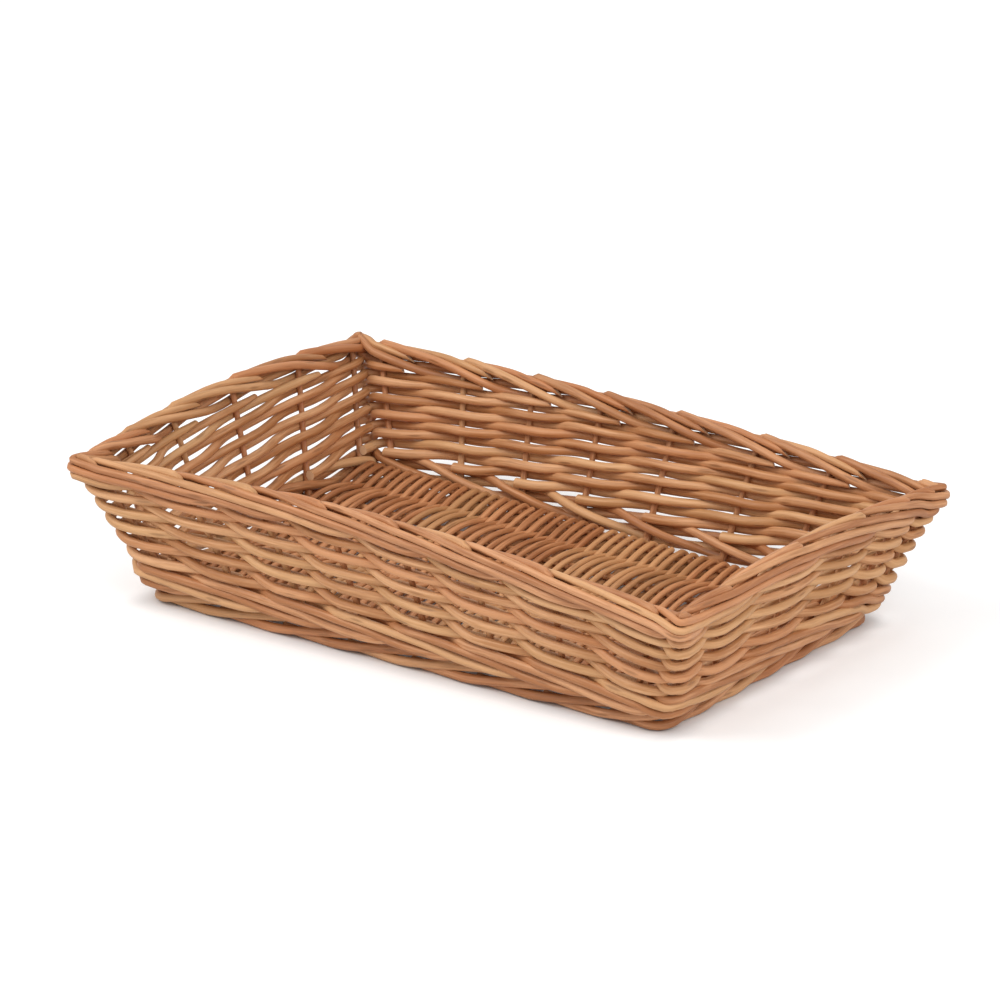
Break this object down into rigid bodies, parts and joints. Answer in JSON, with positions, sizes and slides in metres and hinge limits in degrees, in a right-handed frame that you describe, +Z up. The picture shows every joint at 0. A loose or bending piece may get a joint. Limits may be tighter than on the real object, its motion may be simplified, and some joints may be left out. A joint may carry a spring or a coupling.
{
  "type": "wicker tray",
  "caption": "Oblong open willow tray with a woven floor, outward leaning walls of French randing and a rolled border, for serving, display or storage.",
  "frame": {"origin": "middle of the tray's footprint, on the surface it stands on", "axes": "+X along the long side to the right, +Y to the back, +Z up; the wall nearest the viewer faces -Y"},
  "size_m": [0.4526, 0.2884, 0.099],
  "materials": {
    "foot_willow": "satin, reddish buff willow",
    "stick_willow": "satin, buff willow",
    "floor_willow": "satin, buff willow",
    "wale_willow": "satin, buff willow",
    "rand_willow": "satin, buff willow",
    "stake_willow": "satin, buff willow"
  },
  "bodies": {
    "root": {"foot_rod": "foot_willow", "base_stick_1": "stick_willow", "base_stick_2": "stick_willow", "base_stick_3": "stick_willow", "base_stick_4": "stick_willow", "base_stick_5": "stick_willow", "base_weaver": "floor_willow", "wale_rod_1": "wale_willow", "wale_rod_2": "wale_willow", "wale_rod_3": "wale_willow", "rand_rod_01": "rand_willow", "rand_rod_02": "rand_willow", "rand_rod_03": "rand_willow", "rand_rod_04": "rand_willow", "rand_rod_05": "rand_willow", "rand_rod_06": "rand_willow", "rand_rod_07": "rand_willow", "rand_rod_08": "rand_willow", "rand_rod_09": "rand_willow", "rand_rod_10": "rand_willow", "rand_rod_11": "rand_willow", "rand_rod_12": "rand_willow", "rand_rod_13": "rand_willow", "rand_rod_14": "rand_willow", "front_stake_1": "stake_willow", "front_stake_2": "stake_willow", "front_stake_3": "stake_willow", "front_stake_4": "stake_willow", "front_stake_5": "stake_willow", "front_stake_6": "stake_willow", "front_stake_7": "stake_willow", "front_stake_8": "stake_willow", "right_stake_1": "stake_willow", "right_stake_2": "stake_willow", "right_stake_3": "stake_willow", "right_stake_4": "stake_willow", "right_stake_5": "stake_willow", "right_stake_6": "stake_willow", "back_stake_1": "stake_willow", "back_stake_2": "stake_willow", "back_stake_3": "stake_willow", "back_stake_4": "stake_willow", "back_stake_5": "stake_willow", "back_stake_6": "stake_willow", "back_stake_7": "stake_willow", "back_stake_8": "stake_willow", "left_stake_1": "stake_willow", "left_stake_2": "stake_willow", "left_stake_3": "stake_willow", "left_stake_4": "stake_willow", "left_stake_5": "stake_willow", "left_stake_6": "stake_willow"}
  },
  "joints": []
}
